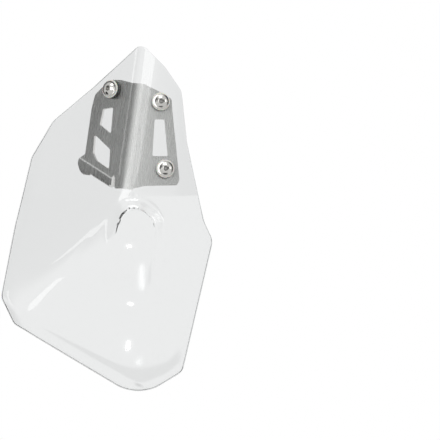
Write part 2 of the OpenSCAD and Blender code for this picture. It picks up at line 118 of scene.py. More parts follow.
def add_node(
    tree: bpy.types.NodeTree, kind: str, settings: dict[str, object] | None = None, **inputs: object
) -> bpy.types.Node:
    """Adds a node with its settings and its inputs.

    Args:
        tree: The node tree that gets it.
        kind: The node's type name.
        settings: The node's own properties.
        **inputs: Socket names, with underscores for spaces, and i0, i1 and so on for sockets by number.
            A socket as the value makes a link, and anything else is set as the input's own value.

    Returns:
        The new node.
    """
    node = tree.nodes.new(kind)
    for name, value in (settings or {}).items():
        setattr(node, name, value)
    for name, value in inputs.items():
        by_number = name[0] == "i" and name[1:].isdigit()
        socket = node.inputs[int(name[1:]) if by_number else name.replace("_", " ")]
        if isinstance(value, bpy.types.NodeSocket):
            tree.links.new(value, socket)
        else:
            socket.default_value = value
    return node


def blend(
    tree: bpy.types.NodeTree, share: bpy.types.NodeSocket, first: object, second: object
) -> bpy.types.NodeSocket:
    """Blends two colours.

    Args:
        tree: The node tree.
        share: How much of the second colour shows, from 0 to 1.
        first: A colour, or the socket that gives it.
        second: Another one.

    Returns:
        The blended colour.
    """
    mix = add_node(tree, "ShaderNodeMix", {"data_type": "RGBA"}, Factor=share, i6=first, i7=second)
    return mix.outputs[2]


def smooth_share(
    tree: bpy.types.NodeTree, value: bpy.types.NodeSocket, start: float, end: float
) -> bpy.types.NodeSocket:
    """Goes smoothly from 0 to 1 while a value goes from start to end."""
    share = add_node(
        tree, "ShaderNodeMapRange", {"interpolation_type": "SMOOTHSTEP"}, Value=value, From_Min=start,
        From_Max=end,
    )
    return share.outputs[0]


def vary(
    tree: bpy.types.NodeTree, pattern: bpy.types.NodeSocket, roughness: tuple[float, float], dark: str,
    light: str,
) -> tuple[bpy.types.NodeSocket, bpy.types.NodeSocket]:
    """Lets a finish's roughness and colour follow a noise pattern.

    Args:
        tree: The finish's node tree.
        pattern: The pattern.
        roughness: The roughness where the pattern is low and where it is high.
        dark: The colour where it is low.
        light: The colour where it is high.

    Returns:
        The roughness and the colour.
    """
    spread = add_node(
        tree, "ShaderNodeMapRange", Value=pattern, From_Min=PATTERN_LOW, From_Max=PATTERN_HIGH,
        To_Min=roughness[0], To_Max=roughness[1],
    )
    return spread.outputs[0], blend(tree, pattern, srgb(dark), srgb(light))


def tell_rays(tree: bpy.types.NodeTree) -> tuple[bpy.types.NodeSocket, bpy.types.NodeSocket]:
    """Tells rays that are looked along from those that only gather light.

    Args:
        tree: The node tree.

    Returns:
        A share of 1 for rays that come straight from the camera, from a mirror or through the sheet, and
        a share of 1 for rays that were mirrored anywhere on their way.
    """
    path = add_node(tree, "ShaderNodeLightPath")
    seen = path.outputs["Is Camera Ray"]
    for ray in ("Is Glossy Ray", "Is Transmission Ray"):
        seen = add_node(
            tree, "ShaderNodeMath", {"operation": "ADD", "use_clamp": True}, i0=seen, i1=path.outputs[ray]
        ).outputs[0]
    mirrored = add_node(
        tree, "ShaderNodeMath", {"operation": "GREATER_THAN"}, i0=path.outputs["Glossy Depth"], i1=0.5
    )
    return seen, mirrored.outputs[0]


def oval_reach(
    tree: bpy.types.NodeTree, place: bpy.types.NodeSocket, centre: Sequence[float], scale: Sequence[float]
) -> bpy.types.NodeSocket:
    """Measures the distance from a centre, with a scale of its own along each axis."""
    aside = add_node(tree, "ShaderNodeVectorMath", {"operation": "SUBTRACT"}, i0=place, i1=centre)
    scaled = add_node(
        tree, "ShaderNodeVectorMath", {"operation": "MULTIPLY"}, i0=aside.outputs[0], i1=scale
    )
    reach = add_node(tree, "ShaderNodeVectorMath", {"operation": "LENGTH"}, i0=scaled.outputs[0])
    return reach.outputs["Value"]


def new_material(name: str) -> tuple[bpy.types.Material, bpy.types.NodeTree]:
    """Makes an empty node material.

    Args:
        name: The material's name.

    Returns:
        The material and its node tree.
    """
    material = bpy.data.materials.new(name)
    material.use_nodes = True
    material.node_tree.nodes.clear()
    return material, material.node_tree


def as_object(bm: BMesh, name: str) -> bpy.types.Object:
    """Makes a linked object from a bmesh and frees the bmesh.

    Args:
        bm: The finished shape.
        name: The object's name.

    Returns:
        The object, at the origin.
    """
    mesh = bpy.data.meshes.new(name)
    bm.to_mesh(mesh)
    bm.free()
    made = bpy.data.objects.new(name, mesh)
    bpy.context.scene.collection.objects.link(made)
    return made


def cut_away(body: BMesh, tool: BMesh) -> BMesh:
    """Cuts one closed shape out of another.

    Args:
        body: The shape that stays.
        tool: The shape that is taken out of it.

    Returns:
        The cut shape.
    """
    target, cutter = as_object(body, "cut_target"), as_object(tool, "cut_tool")
    modifier = target.modifiers.new("cut", "BOOLEAN")
    modifier.operation, modifier.solver, modifier.object = "DIFFERENCE", "EXACT", cutter
    result = bmesh.new()
    result.from_object(target, bpy.context.evaluated_depsgraph_get())
    for spent in (target, cutter):
        mesh = spent.data
        bpy.data.objects.remove(spent)
        bpy.data.meshes.remove(mesh)
    return result


def close_up(bm: BMesh) -> None:
    """Merges a closed shape's doubles and points its faces outwards."""
    bmesh.ops.remove_doubles(bm, verts=bm.verts, dist=JOIN)
    bmesh.ops.recalc_face_normals(bm, faces=bm.faces)


def turned(profile: Sequence[tuple[float, float]], steps: int = 64, closed: bool = True) -> BMesh:
    """Spins a profile of radius and height round the Z axis.

    Args:
        profile: The points, as (radius, height).
        steps: Faces round the axis.
        closed: Whether the profile's last point joins its first.

    Returns:
        The turned shape.
    """
    bm = bmesh.new()
    verts = [bm.verts.new((r, 0, z)) for r, z in profile]
    edges = [bm.edges.new(pair) for pair in zip(verts, verts[1:])]
    if closed:
        edges.append(bm.edges.new((verts[-1], verts[0])))
    bmesh.ops.spin(
        bm, geom=verts + edges, cent=(0, 0, 0), axis=(0, 0, 1), angle=math.tau, steps=steps, use_merge=True
    )
    close_up(bm)
    return bm


def round_off(bm: BMesh, width: float, angle: float, segments: int = 2) -> None:
    """Rounds the edges of a shape that are sharper than an angle.

    Args:
        bm: The shape.
        width: How far the rounding reaches from the edge.
        angle: The smallest angle between two faces that is rounded, in degrees.
        segments: Faces across the rounding.
    """
    limit = math.radians(angle)
    sharp = [e for e in bm.edges if len(e.link_faces) == 2 and e.calc_face_angle(0) > limit]
    bmesh.ops.bevel(
        bm, geom=sharp, offset=width, segments=segments, profile=0.5, affect="EDGES", material=-1,
        offset_type="OFFSET", clamp_overlap=True,
    )


@dataclass
class Workshop:
    """Puts finished shapes into the scene as pieces of the object."""

    home: Vector

    @property
    def to_row(self) -> Matrix:
        """The matrix from millimetres round the ridge's turn to the frame."""
        return Matrix.Scale(MM, 4) @ Matrix.Translation(self.home)

    def from_cad(self, node: str) -> BMesh:
        """Takes a CAD node's mesh and makes its flat faces whole.

        Args:
            node: The node's name.

        Returns:
            The shape in millimetres, round the ridge's turn.
        """
        bm = bmesh.new()
        bm.from_mesh(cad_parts[node].data)
        bm.transform(self.to_row.inverted())
        close_up(bm)
        bmesh.ops.dissolve_limit(
            bm, angle_limit=math.radians(FLAT_ANGLE), verts=bm.verts, edges=bm.edges,
            use_dissolve_boundaries=False,
        )
        return bm

    def piece(
        self, bm: BMesh, name: str, material: bpy.types.Material, slot: str, *nodes: str, crease: float = 32
    ) -> bpy.types.Object:
        """Makes a piece from a shape in millimetres.

        Args:
            bm: The shape, round the ridge's turn.
            name: The piece's name.
            material: Its material.
            slot: The record's slot of that finish. It is not used.
            *nodes: The CAD nodes that it stands for.
            crease: The smallest angle between faces that shades as an edge, in degrees.

        Returns:
            The piece.
        """
        bm.transform(self.to_row)
        for face in bm.faces:
            face.smooth = True
        made = as_object(bm, name)
        made.data.set_sharp_from_angle(angle=math.radians(crease))
        made.data.materials.append(material)
        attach(made, BODY)
        if nodes:
            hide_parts(*nodes)
        log.info("%s: %d faces", name, len(made.data.polygons))
        return made


# Finishes


@dataclass(frozen=True)
class ClearSheet:
    """Clear polycarbonate sheet, thermoformed over a mould.

    It is see-through and glossy, with a faint grey tint, and slow waves from forming bend its highlights.
    """

    tint: str = "EAEBEB"
    shadow: str = "E0E2E2"
    roughness: float = 0.05
    ior: float = 1.58
    wave: float = 26.0
    wave_depth: float = 0.02

    def material(self) -> bpy.types.Material:
        """Builds the material."""
        material, tree = new_material("clear_thermoformed_polycarbonate")
        place = add_node(tree, "ShaderNodeTexCoord").outputs["Object"]
        waves = add_node(tree, "ShaderNodeTexNoise", Vector=place, Scale=1 / (self.wave * MM), Detail=1.0)
        bump = add_node(
            tree, "ShaderNodeBump", Height=waves.outputs["Fac"], Distance=self.wave_depth * MM, Strength=1.0
        )
        shader = add_node(
            tree, "ShaderNodeBsdfPrincipled", Base_Color=srgb(self.tint), Roughness=self.roughness,
            IOR=self.ior, Transmission_Weight=1.0, Normal=bump.outputs["Normal"],
        )
        # Lamps shine through the sheet onto what it covers
        lit = add_node(tree, "ShaderNodeBsdfTransparent", Color=srgb(self.shadow))
        path = add_node(tree, "ShaderNodeLightPath")
        mix = add_node(
            tree, "ShaderNodeMixShader", Fac=path.outputs["Is Shadow Ray"], i1=shader.outputs[0],
            i2=lit.outputs[0],
        )
        add_node(tree, "ShaderNodeOutputMaterial", Surface=mix.outputs[0])
        return material


@dataclass(frozen=True)
class BrushedStainless:
    """Stainless sheet brushed along the bend: a grey metal with fine lines that lean with it.

    Real lines are finer. Here they are about half a millimetre apart, so that they show.
    """

    light: str = "F4F3F1"
    dark: str = "E4E3E1"
    roughness: tuple[float, float] = (0.24, 0.32)
    line: float = 0.5
    line_length: float = 30.0
    line_depth: float = 0.004
    anisotropy: float = 0.9
    bend_tilt: float = 8.0

    def material(self) -> bpy.types.Material:
        """Builds the material."""
        material, tree = new_material("brushed_stainless_sheet")
        place = add_node(tree, "ShaderNodeTexCoord").outputs["Object"]
        along, across = self.line_length * MM, self.line * MM
        grain = add_node(
            tree, "ShaderNodeMapping", {"vector_type": "TEXTURE"}, Vector=place,
            Rotation=(0, math.radians(self.bend_tilt), 0), Scale=(across, along, along),
        )
        lines = add_node(
            tree, "ShaderNodeTexNoise", Vector=grain.outputs[0], Scale=1.0, Detail=5.0, Roughness=0.65
        )
        spread, colour = vary(tree, lines.outputs["Fac"], self.roughness, self.dark, self.light)
        bump = add_node(
            tree, "ShaderNodeBump", Height=lines.outputs["Fac"], Distance=self.line_depth * MM, Strength=0.6
        )
        tangent = add_node(tree, "ShaderNodeTangent", {"direction_type": "RADIAL", "axis": "Z"})
        shader = add_node(
            tree, "ShaderNodeBsdfPrincipled", Base_Color=colour, Metallic=1.0, Roughness=spread,
            Anisotropic=self.anisotropy, Anisotropic_Rotation=0.0, Normal=bump.outputs["Normal"],
            Tangent=tangent.outputs[0],
        )
        add_node(tree, "ShaderNodeOutputMaterial", Surface=shader.outputs[0])
        return material


@dataclass(frozen=True)
class SpeckledFinish:
    """A plain finish whose colour and gloss wander a little: nylon, moulded rubber or machined steel.

    Its grain, depth, subsurface_reach and the reach of the painted shade are in millimetres. That reach is
    how far into the open the painted shade in a socket's corners goes: the colour is darkened there as the
    hollow would be shaded.
    """

    name: str
    light: str
    dark: str
    metallic: float
    roughness: tuple[float, float]
    grain: float
    depth: float
    subsurface: float = 0.0
    subsurface_reach: float = 0.5
    # Painted shade: how far the darkening of hollows reaches, and the occlusion values it spans
    painted_shade_reach: float = 0.0
    painted_shade_range: tuple[float, float] = (0.3, 0.92)

    def material(self) -> bpy.types.Material:
        """Builds the material."""
        material, tree = new_material(self.name)
        place = add_node(tree, "ShaderNodeTexCoord").outputs["Object"]
        speckle = add_node(
            tree, "ShaderNodeTexNoise", Vector=place, Scale=1 / (self.grain * MM), Detail=4.0, Roughness=0.6
        )
        spread, colour = vary(tree, speckle.outputs["Fac"], self.roughness, self.dark, self.light)
        if self.painted_shade_reach:
            # Painted shade: the colour darkens in the socket and other hollows that the occlusion test finds,
            # standing in for their shade
            corners = add_node(
                tree, "ShaderNodeAmbientOcclusion", {"samples": 8, "only_local": True},
                Distance=self.painted_shade_reach * MM,
            )
            in_open = add_node(
                tree, "ShaderNodeMapRange", Value=corners.outputs["AO"], From_Min=self.painted_shade_range[0],
                From_Max=self.painted_shade_range[1],
            )
            colour = blend(tree, in_open.outputs[0], srgb(SOCKET_PAINTED_SHADE), colour)
        bump = add_node(
            tree, "ShaderNodeBump", Height=speckle.outputs["Fac"], Distance=self.depth * MM, Strength=0.5
        )
        shader = add_node(
            tree, "ShaderNodeBsdfPrincipled", Base_Color=colour, Metallic=self.metallic, Roughness=spread,
            Normal=bump.outputs["Normal"], Subsurface_Weight=self.subsurface,
            Subsurface_Scale=self.subsurface_reach * MM,
        )
        add_node(tree, "ShaderNodeOutputMaterial", Surface=shader.outputs[0])
        return material


# Polished stainless screws: bright, with faint handling marks about 2 mm long and painted shade in their
# sockets
POLISHED_STAINLESS = SpeckledFinish(
    "polished_stainless", "CAC9C5", "B0AFAC", 1.0, (0.1, 0.18), 2.0, 0.002, painted_shade_reach=2.0
)
# Turned stainless washers and nuts: satin, with marks a millimetre wide
TURNED_STAINLESS = SpeckledFinish("turned_stainless", "C2C1BE", "A8A7A5", 1.0, (0.24, 0.38), 1.0, 0.004)
# Natural nylon: milky, with a soft gloss, and it lets a little light into itself
NATURAL_NYLON = SpeckledFinish("natural_nylon", "E6E5DF", "D6D5CE", 0.0, (0.38, 0.5), 1.5, 0.01, 0.2)
# Moulded rubber: dark grey and dull, with a fine bloom
MOULDED_RUBBER = SpeckledFinish("moulded_rubber", "464646", "383838", 0.0, (0.62, 0.8), 1.2, 0.03)


# The shield


def unit(x: float, z: float) -> tuple[float, float]:
    """Scales a direction in the front view to length 1."""
    size = math.hypot(x, z)
    return x / size, z / size


def ramp(t: float, soft: float) -> float:
    """Rises softly from nothing below zero to t above it."""
    return (t + math.hypot(t, soft)) / 2


def ease(t: float) -> float:
    """Goes smoothly from 0 at t = 0 to 1 at t = 1."""
    u = min(1.0, max(0.0, t))
    return u * u * (3 - 2 * u)


def slant(degrees: float) -> float:
    """The slope of an angle in degrees."""
    return math.tan(math.radians(degrees))


@dataclass(frozen=True)
class Fold:
    """A fold of the sheet along a line inset from two corners of its outline, which it names by number."""

    first: int
    second: int
    first_inset: float
    second_inset: float
    angle: float
    soft: float


@dataclass
class ShieldForm:
    """The shield's outer skin, as a depth at each place of the front view."""

    # The corners clockwise from the tip, as place to the right, height and corner radius
    outline: list[tuple[float, float, float]] = field(
        default_factory=lambda: [
            (14.6, 121.5, 7.2), (34.9, 101.2, 40), (48.9, 80.8, 11), (53.6, 37.4, 20), (68, -29.8, 30),
            (75.7, -46.3, 12), (49.7, -158.1, 9), (12, -180.7, 37), (-93.9, -117.3, 8), (-105, -94.4, 9),
            (-92.7, -30.6, 80), (-79.5, 24.7, 10), (-61.2, 55.3, 20), (-26.4, 84.2, 60),
        ]
    )
    folds: list[Fold] = field(
        default_factory=lambda: [
            Fold(7, 8, 10, 10, 34, 3), Fold(6, 7, 5, 10, 23.8, 4), Fold(8, 9, 5.6, 2.8, 34, 2.5),
            Fold(9, 11, 2.45, 7, 20, 2.5), Fold(5, 6, 12.35, 9.5, 16, 4), Fold(3, 6, 0, 0, 12, 5),
            Fold(11, 13, 8, 3, -6, 4),
        ]
    )
    wall: float = 3.0

    # The panels slope back from the ridge, and the left one gets flatter over left_fade below fade_top
    left_angle: float = 34
    right_angle: float = 8
    low_left_angle: float = 17
    left_fade: float = 110
    fade_top: float = -5

    # The ridge tilts aside and leans back by other angles below its turn, where its crest is softer
    ridge_tilt: float = 8
    ridge_low_tilt: float = 35.5
    tip_lean: float = 6.5
    foot_lean: float = 5
    ridge_soft: float = 1.4
    ridge_low_soft: float = 7
    ridge_crown: float = 1.4
    ridge_crown_w: float = 8
    ridge_crown_end: float = -12
    ridge_crown_rise: float = 30
    knee: float = -8
    knee_soft: float = 8
    lean_knee: float = -15
    lean_soft: float = 12

    # The bulge's wall is gentler on the left, from bulge_gentle_from beside its head onwards
    bulge_h: float = 10
    bulge_r: float = 29
    bulge_wall: float = 11
    bulge_left_wall: float = 28
    bulge_gentle_from: float = 4
    bulge_gentle_w: float = 22
    bulge_at: tuple[float, float] = (8, -38)
    bulge_fade: float = 80
    bulge_right_slant: float = 8.6

    def ridge_x(self, z: float) -> float:
        """The ridge's place to the right at a height."""
        above, below = self.knee + ramp(z - self.knee, self.knee_soft), ramp(self.knee - z, self.knee_soft)
        return slant(self.ridge_tilt) * above - slant(self.ridge_low_tilt) * below

    def ridge_y(self, z: float) -> float:
        """The ridge's depth at a height."""
        above = self.lean_knee + ramp(z - self.lean_knee, self.lean_soft)
        below = ramp(self.lean_knee - z, self.lean_soft)
        return slant(self.tip_lean) * above + slant(self.foot_lean) * below

    def panels(self, x: float, z: float) -> float:
        """Depth of the two panels, which meet softly along the ridge."""
        fade, t = ease((self.fade_top - z) / self.left_fade), x - self.ridge_x(z)
        right, left = slant(self.right_angle), slant(self.left_angle)
        left += (slant(self.low_left_angle) - left) * fade
        soft = self.ridge_soft + (self.ridge_low_soft - self.ridge_soft) * fade
        # The ridge's crest is a little rounder than its sides, so that it mirrors a broad band
        crown = self.ridge_crown * ease((z - self.ridge_crown_end) / self.ridge_crown_rise)
        soft += crown * math.exp(-((t / self.ridge_crown_w) ** 2))
        return (right - left) * t / 2 + math.hypot((right + left) * t / 2, soft)

    def bulge(self, x: float, z: float) -> float:
        """Height of the bulge over the lever, a round head whose sides open towards the foot."""
        low, right = math.radians(self.ridge_low_tilt), math.radians(self.bulge_right_slant)
        lx, lz, rx, rz = -math.cos(low), math.sin(low), math.cos(right), -math.sin(right)
        vx, vz = x - self.bulge_at[0], z - self.bulge_at[1]
        on_left, on_right = lx * vz - lz * vx > 0, vx * rz - vz * rx > 0
        to_left, to_right = vx * lx + vz * lz, vx * rx + vz * rz
        if on_left and on_right:
            inset = self.bulge_r - max(to_left, to_right)
        elif on_left:
            inset = self.bulge_r - to_left
        elif on_right:
            inset = self.bulge_r - to_right
        else:
            inset = self.bulge_r - math.hypot(vx, vz)
        gentle = ease((self.bulge_at[0] - x - self.bulge_gentle_from) / self.bulge_gentle_w)
        wall = self.bulge_wall + (self.bulge_left_wall - self.bulge_wall) * gentle
        return self.bulge_h * ease(inset / wall) * (1 - ease((-vz + self.bulge_wall) / self.bulge_fade))

    def beyond(self, fold: Fold, x: float, z: float) -> float:
        """How far a place lies outside a fold's line."""
        (ax, az, _), (bx, bz, _) = self.outline[fold.first], self.outline[fold.second]
        nx, nz = unit(az - bz, bx - ax)
        px, pz = ax - nx * fold.first_inset, az - nz * fold.first_inset
        dx, dz = unit(bx - nx * fold.second_inset - px, bz - nz * fold.second_inset - pz)
        return dx * (z - pz) - dz * (x - px)

    def skin(self, x: float, z: float) -> float:
        """Depth of the outer skin."""
        folded = sum(slant(f.angle) * ramp(self.beyond(f, x, z), f.soft) for f in self.folds)
        return self.ridge_y(z) + self.panels(x, z) - self.bulge(x, z) + folded

    def outward(self, x: float, z: float, step: float = 0.2) -> Vector:
        """The skin's direction out of the front.

        Args:
            x: Place to the right.
            z: Height.
            step: Distance to the neighbours that give the slope.

        Returns:
            A vector of length 1.
        """
        across = (self.skin(x + step, z) - self.skin(x - step, z)) / (2 * step)
        up = (self.skin(x, z + step) - self.skin(x, z - step)) / (2 * step)
        return Vector((across, -1, up)).normalized()


@dataclass
class Shield:
    """The clear shield: the outline filled with rings, pushed to the skin, given its wall and drilled."""

    form: ShieldForm
    edge_step: float = 2.1
    rim_rings: int = 14
    rim_share: float = 0.007
    rings: int = 54
    edge_round: float = 0.5
    edge_angle: float = 55
    hole_r: float = 3.3
    drill_l: float = 30
    crease: float = 40

    def edge_loop(self, bm: BMesh) -> list[BMEdge]:
        """Draws the outline, with an arc spun at each corner and even steps between them.

        Args:
            bm: The shape that gets it.

        Returns:
            The loop's edges.
        """
        outline = self.form.outline
        ends: list[tuple[Vector, Vector]] = []
        for i, (x, z, radius) in enumerate(outline):
            before, after = outline[i - 1], outline[(i + 1) % len(outline)]
            (ax, az), (bx, bz) = unit(before[0] - x, before[1] - z), unit(after[0] - x, after[1] - z)
            half = math.acos(ax * bx + az * bz) / 2
            mx, mz = unit(ax + bx, az + bz)
            centre = (x + mx * radius / math.sin(half), 0, z + mz * radius / math.sin(half))
            cut = radius / math.tan(half)
            start, last = Vector((x + ax * cut, 0, z + az * cut)), Vector((x + bx * cut, 0, z + bz * cut))
            sweep = math.copysign(math.pi - 2 * half, ax * bz - az * bx)
            steps = max(2, math.ceil(abs(sweep) * radius / self.edge_step))
            bmesh.ops.spin(
                bm, geom=[bm.verts.new(start)], cent=centre, axis=(0, 1, 0), angle=sweep, steps=steps
            )
            ends.append((start, last))
        for i, (_, last) in enumerate(ends):
            start = ends[(i + 1) % len(ends)][0]
            pair = [min(bm.verts, key=lambda v, end=end: (v.co - end).length) for end in (last, start)]
            run = bm.edges.new(pair)
            cuts = int((last - start).length / self.edge_step)
            if cuts:
                bmesh.ops.subdivide_edges(bm, edges=[run], cuts=cuts)
        return list(bm.edges)

    def sheet(self) -> BMesh:
        """Makes the flat sheet, as rings that shrink towards the head of the bulge.

        Returns:
            The sheet in the XZ plane.
        """
        bm = bmesh.new()
        ring = self.edge_loop(bm)
        middle = Vector((self.form.bulge_at[0], 0, self.form.bulge_at[1]))
        shares = [1 - self.rim_share * k for k in range(self.rim_rings + 1)]
        shares += [shares[-1] * (1 - k / self.rings) for k in range(1, self.rings)]
        for share, inner in zip(shares, shares[1:]):
            made = bmesh.ops.extrude_edge_only(bm, edges=ring)["geom"]
            verts = [v for v in made if isinstance(v, BMVert)]
            ring = [e for e in made if isinstance(e, BMEdge) and e.is_boundary]
            for vert in verts:
                vert.co = middle + (vert.co - middle) * (inner / share)
        bmesh.ops.pointmerge(bm, verts=list({v for e in ring for v in e.verts}), merge_co=middle)
        return bm

    def shell(self) -> BMesh:
        """Pushes the sheet to the skin and gives it its wall and rounded edges.

        Returns:
            The closed shell.
        """
        bm = self.sheet()
        outward: dict[BMVert, Vector] = {}
        for vert in bm.verts:
            outward[vert] = self.form.outward(vert.co.x, vert.co.z)
            vert.co.y = self.form.skin(vert.co.x, vert.co.z)
        front = list(bm.verts)
        made = bmesh.ops.extrude_face_region(bm, geom=bm.faces[:], use_keep_orig=True)["geom"]
        rear = [v for v in made if isinstance(v, BMVert)]
        by_place = {vert.co.copy().freeze(): outward[vert] for vert in front}
        for vert in rear:
            vert.co -= by_place[vert.co.copy().freeze()] * self.form.wall
        bmesh.ops.recalc_face_normals(bm, faces=bm.faces)
        round_off(bm, self.edge_round, self.edge_angle)
        return bm

    def fit(self, shell: BMesh, workshop: Workshop) -> None:
        """Draws the shell in by a few hundredths to the CAD shield's box, whose facets cut its crowns.

        Args:
            shell: The shell in millimetres.
            workshop: Knows the way to the frame.
        """
        to_shape = workshop.to_row.inverted()
        low, high = (to_shape @ Vector(corner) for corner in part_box("shield"))
        for axis in range(3):
            own = [vert.co[axis] for vert in shell.verts]
            start, size = min(own), max(own) - min(own)
            scale = (high[axis] - low[axis]) / size
            for vert in shell.verts:
                vert.co[axis] = low[axis] + (vert.co[axis] - start) * scale

    def build(self, workshop: Workshop, finish: ClearSheet, axes: Iterable[Matrix]) -> None:
        """Makes the shield and drills it on the fixings' axes.

        Args:
            workshop: Puts the piece into the scene.
            finish: The sheet's finish.
            axes: The fixings' places and directions.
        """
        drills = bmesh.new()
        for axis in axes:
            bmesh.ops.create_cone(
                drills, cap_ends=True, segments=48, radius1=self.hole_r, radius2=self.hole_r,
                depth=self.drill_l, matrix=axis,
            )
        shell = cut_away(self.shell(), drills)
        self.fit(shell, workshop)
        workshop.piece(
            shell, "clear_shield", finish.material(), "clear_sheet", "shield", crease=self.crease
        )


# The bracket and the fixings


@dataclass
class BracketPlanes:
    """The planes of the bracket's two faces, parallel to the shield's panels and behind them."""

    form: ShieldForm
    gap: float = 4.0
    sheet: float = 2.5

    def face(self, side: Side) -> Matrix:
        """The frame of a face: X right, Y up along the bend and Z out of the front.

        Args:
            side: Which face.

        Returns:
            Its matrix in millimetres, at the bend's apex.
        """
        form = self.form
        tilt, lean = slant(form.ridge_tilt), slant(form.tip_lean)
        left, right = slant(form.left_angle), slant(form.right_angle)
        up = Vector((tilt, lean, 1)).normalized()
        out = Vector((-left, -1, lean + left * tilt)).normalized()
        right_out = Vector((right, -1, lean - right * tilt)).normalized()
        bend = out.angle(right_out)
        apex = -(out + right_out).normalized() * (form.wall + self.gap) / math.cos(bend / 2)
        rightward = up.cross(out)
        plane = Matrix((rightward, up, out)).transposed().to_4x4()
        plane.translation = apex
        return plane if side is Side.LEFT else plane @ Matrix.Rotation(bend, 4, "Y")


@dataclass
class Bracket:
    """The folded steel bracket, with its laser-cut edges broken as after tumbling."""

    planes: BracketPlanes
    bend_r: float = 14.0
    edge_round: float = 0.3
    edge_angle: float = 50
    crown_depth: float = 0.55
    crown_low_width: float = 25.0
    crown_high_width: float = 9.0
    crown_height: float = 85.0
    crown_strips: int = 12

    def crown(self, bm: BMesh) -> None:
        """Curves the right face a little beside the bend, as a press brake leaves it.

        Args:
            bm: The bracket in millimetres.
        """
        left, right = self.planes.face(Side.LEFT), self.planes.face(Side.RIGHT)
        bend = left.col[2].xyz.angle(right.col[2].xyz)
        cut = self.bend_r * math.tan(bend / 2)
        out, to_face = right.col[2].xyz, right.inverted()
        narrowing = (self.crown_low_width - self.crown_high_width) / self.crown_height
        for k in range(1, self.crown_strips + 1):
            share = k / self.crown_strips
            # Each strip's edge leans towards the bend as the crown narrows
            across = (right.col[0].xyz + right.col[1].xyz * narrowing * share).normalized()
            bmesh.ops.bisect_plane(
                bm, geom=[*bm.verts, *bm.edges, *bm.faces], dist=JOIN, plane_no=across,
                plane_co=right @ Vector((cut + self.crown_low_width * share, 0, 0)),
            )
        start = -cut * math.cos(bend)
        # What lies deeper than this behind the face stays as it is
        behind = 3 * self.planes.sheet
        for vert in bm.verts:
            place = to_face @ vert.co
            if place.z > -behind:
                width = self.crown_low_width - narrowing * place.y
                past = min(1.0, max(0.0, (place.x - cut) / width))
                vert.co -= out * self.crown_depth * (1 - past) ** 2 * ease((place.x - start) / (cut - start))

    def build(self, workshop: Workshop, finish: BrushedStainless) -> None:
        """Takes the CAD bracket's mesh, crowns its right face and breaks its edges.

        Args:
            workshop: Puts the piece into the scene.
            finish: The sheet's finish.
        """
        bm = workshop.from_cad("bracket")
        self.crown(bm)
        round_off(bm, self.edge_round, self.edge_angle)
        made = workshop.piece(bm, "brushed_bracket", finish.material(), "bracket_steel", "bracket")
        # The broken edges leave the flats' shading flat
        normals = made.modifiers.new("flat_faces", "WEIGHTED_NORMAL")
        normals.mode, normals.weight, normals.keep_sharp = "FACE_AREA", 100, True


@dataclass
class FixingFinishes:
    """The fixings' materials."""

    screw: bpy.types.Material
    steel: bpy.types.Material
    nylon: bpy.types.Material
    rubber: bpy.types.Material


